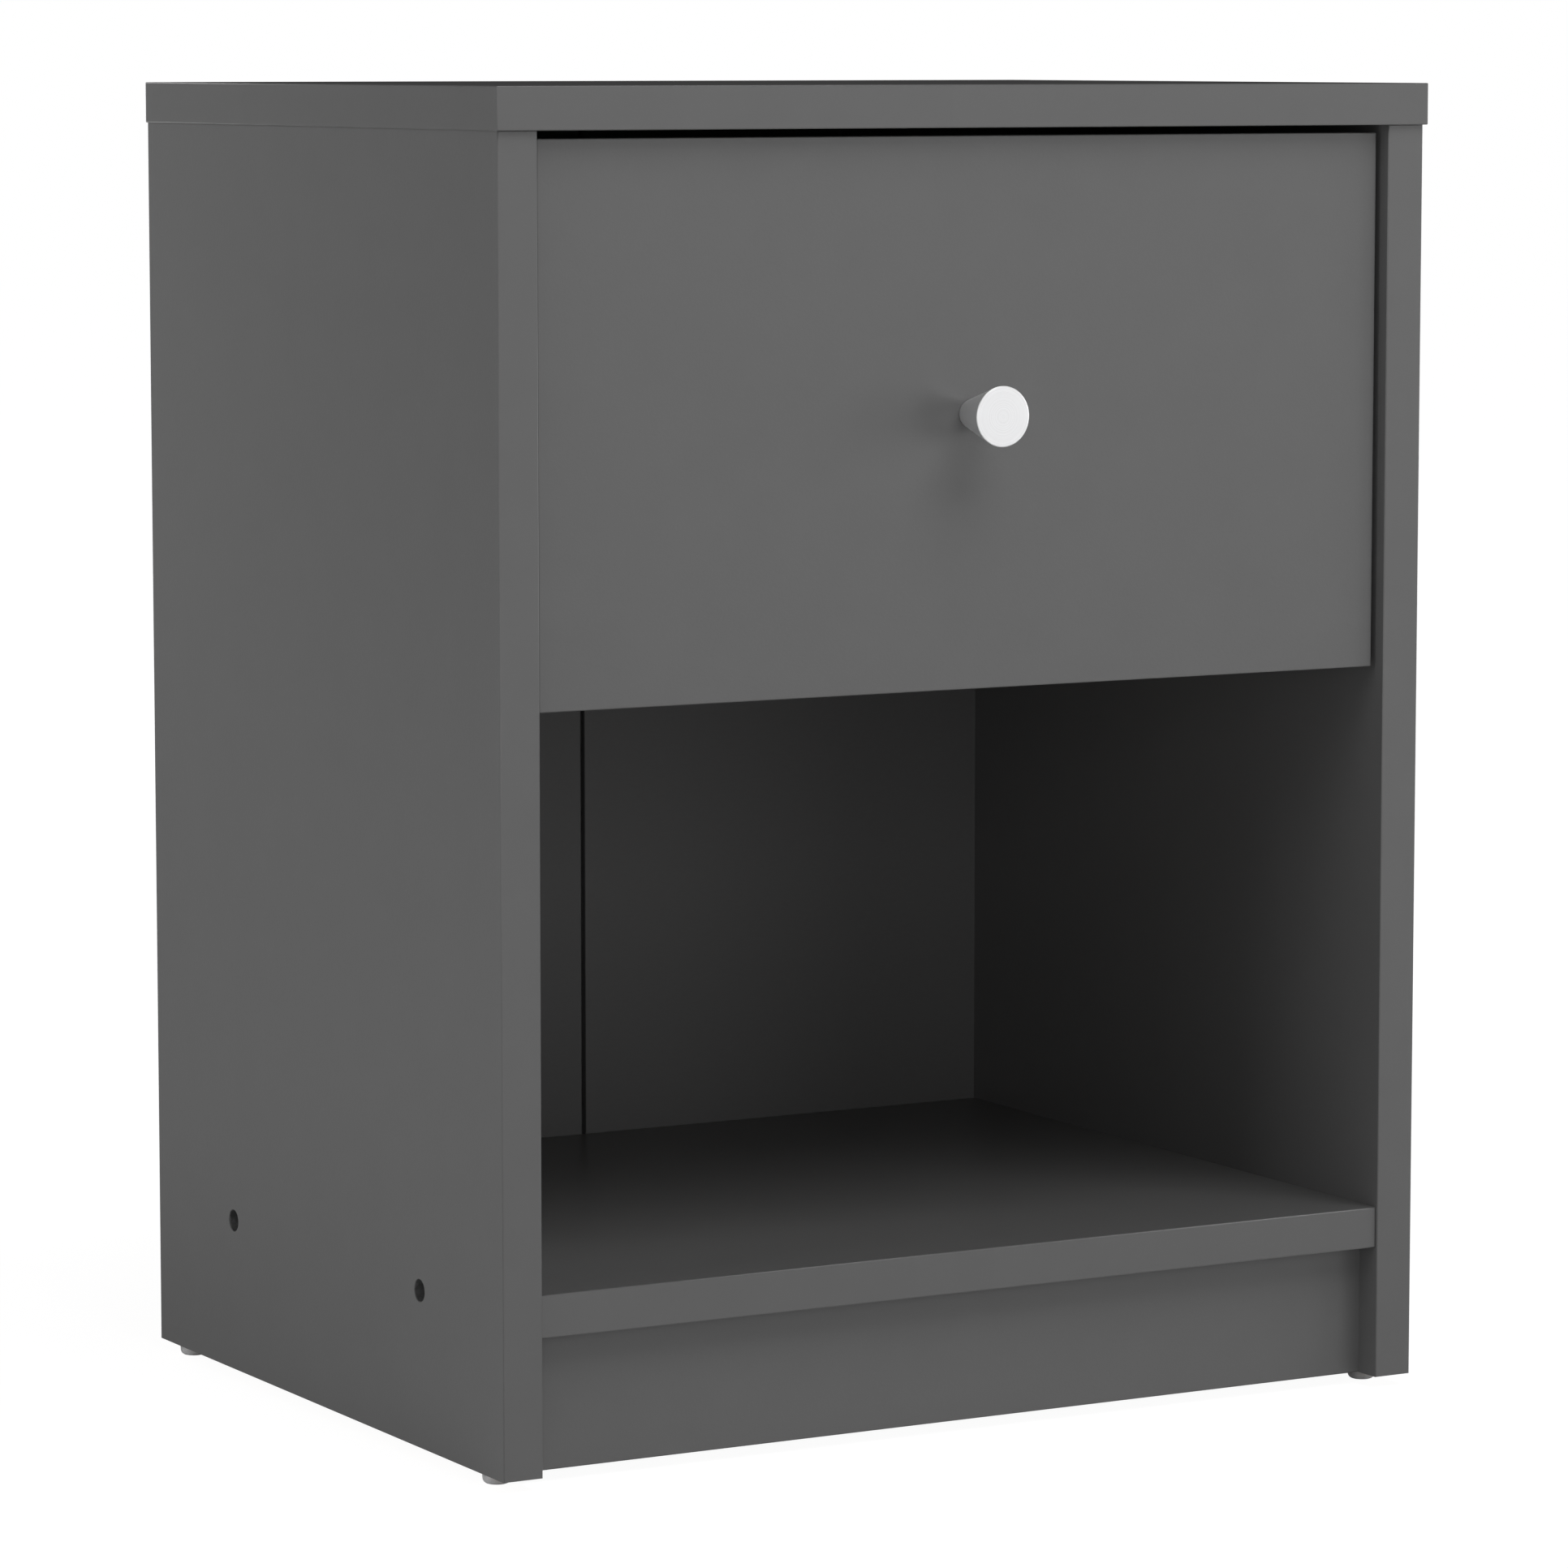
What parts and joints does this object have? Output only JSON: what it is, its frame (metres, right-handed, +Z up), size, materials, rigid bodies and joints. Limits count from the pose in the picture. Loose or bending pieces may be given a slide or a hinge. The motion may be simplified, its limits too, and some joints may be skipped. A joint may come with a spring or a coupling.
{
  "type": "nightstand with drawers",
  "caption": "Small bedside cabinet in dark grey board: a drawer with a conical metal knob runs on roller slides above an open shelf, on a recessed plinth.",
  "frame": {"origin": "on the floor, under the middle of the cabinet's whole box, knob included", "axes": "+Z up, -Y towards the front, +X to the right as seen from the front"},
  "size_m": [0.403, 0.3286, 0.512],
  "materials": {
    "grey_melamine": "matte melamine-faced chipboard, dark grey",
    "grey_hardboard": "painted hardboard, dark grey",
    "drawer_foil_board": "foil-wrapped chipboard, grey",
    "satin_aluminium": "satin turned aluminium",
    "zinc_plated_steel": "zinc-plated steel",
    "die_cast_zinc": "die-cast zinc alloy",
    "powder_coated_steel": "powder-coated steel strip, light grey",
    "roller_plastic": "white acetal",
    "glide_plastic": "translucent polythene",
    "beech_dowel": "fluted beech",
    "hinge_tape": "self-adhesive tape, dark grey"
  },
  "bodies": {
    "cabinet": {"back_fold_tape": "hinge_tape", "back_nails": "zinc_plated_steel", "back_panel_left": "grey_hardboard", "back_panel_right": "grey_hardboard", "bottom_shelf": "grey_melamine", "cabinet_rail_left": "powder_coated_steel", "cabinet_rail_right": "powder_coated_steel", "cabinet_rail_screws": "zinc_plated_steel", "cabinet_roller_axle_left": "zinc_plated_steel", "cabinet_roller_axle_right": "zinc_plated_steel", "glide_front_left": "glide_plastic", "glide_front_right": "glide_plastic", "glide_pins": "zinc_plated_steel", "glide_rear_left": "glide_plastic", "glide_rear_right": "glide_plastic", "plinth": "grey_melamine", "plinth_dowels": "beech_dowel", "shelf_dowels": "beech_dowel", "shelf_screws": "zinc_plated_steel", "side_panel_left": "grey_melamine", "side_panel_right": "grey_melamine", "top_cam_bolts": "zinc_plated_steel", "top_cam_locks": "die_cast_zinc", "top_dowels": "beech_dowel", "top_panel": "grey_melamine"},
    "drawer": {"drawer_front": "grey_melamine", "drawer_side_left": "drawer_foil_board", "drawer_side_right": "drawer_foil_board", "drawer_back": "drawer_foil_board", "drawer_bottom": "grey_hardboard", "drawer_bottom_nails": "zinc_plated_steel", "drawer_cam_bolts": "zinc_plated_steel", "drawer_cam_locks": "die_cast_zinc", "drawer_back_screws": "zinc_plated_steel", "drawer_rail_left": "powder_coated_steel", "drawer_rail_right": "powder_coated_steel", "drawer_rail_screws": "zinc_plated_steel", "drawer_roller_axle_left": "zinc_plated_steel", "drawer_roller_axle_right": "zinc_plated_steel", "knob": "satin_aluminium", "knob_screw": "zinc_plated_steel"},
    "cabinet_roller_left": {"cabinet_roller_left": "roller_plastic"},
    "cabinet_roller_right": {"cabinet_roller_right": "roller_plastic"},
    "drawer_roller_left": {"drawer_roller_left": "roller_plastic"},
    "drawer_roller_right": {"drawer_roller_right": "roller_plastic"}
  },
  "joints": [
    {"name": "drawer_slide", "type": "slide", "parent": "cabinet", "child": "drawer", "axis": [0, -1, 0], "range_m": [0, 0.185]},
    {"name": "cabinet_roller_left_turn", "type": "hinge", "parent": "cabinet", "child": "cabinet_roller_left", "pos_m": [-0.1778, -0.1113, 0.3107], "axis": [1, 0, 0], "continuous": true},
    {"name": "drawer_roller_left_turn", "type": "hinge", "parent": "drawer", "child": "drawer_roller_left", "pos_m": [-0.1778, 0.1127, 0.3103], "axis": [1, 0, 0], "continuous": true},
    {"name": "cabinet_roller_right_turn", "type": "hinge", "parent": "cabinet", "child": "cabinet_roller_right", "pos_m": [0.1778, -0.1113, 0.3107], "axis": [1, 0, 0], "continuous": true},
    {"name": "drawer_roller_right_turn", "type": "hinge", "parent": "drawer", "child": "drawer_roller_right", "pos_m": [0.1778, 0.1127, 0.3103], "axis": [1, 0, 0], "continuous": true}
  ],
  "couplings": [
    {"joint": "cabinet_roller_left_turn", "follows": "drawer_slide", "rad_per_m": 100},
    {"joint": "drawer_roller_left_turn", "follows": "drawer_slide", "rad_per_m": 100},
    {"joint": "cabinet_roller_right_turn", "follows": "drawer_slide", "rad_per_m": 100},
    {"joint": "drawer_roller_right_turn", "follows": "drawer_slide", "rad_per_m": 100}
  ]
}
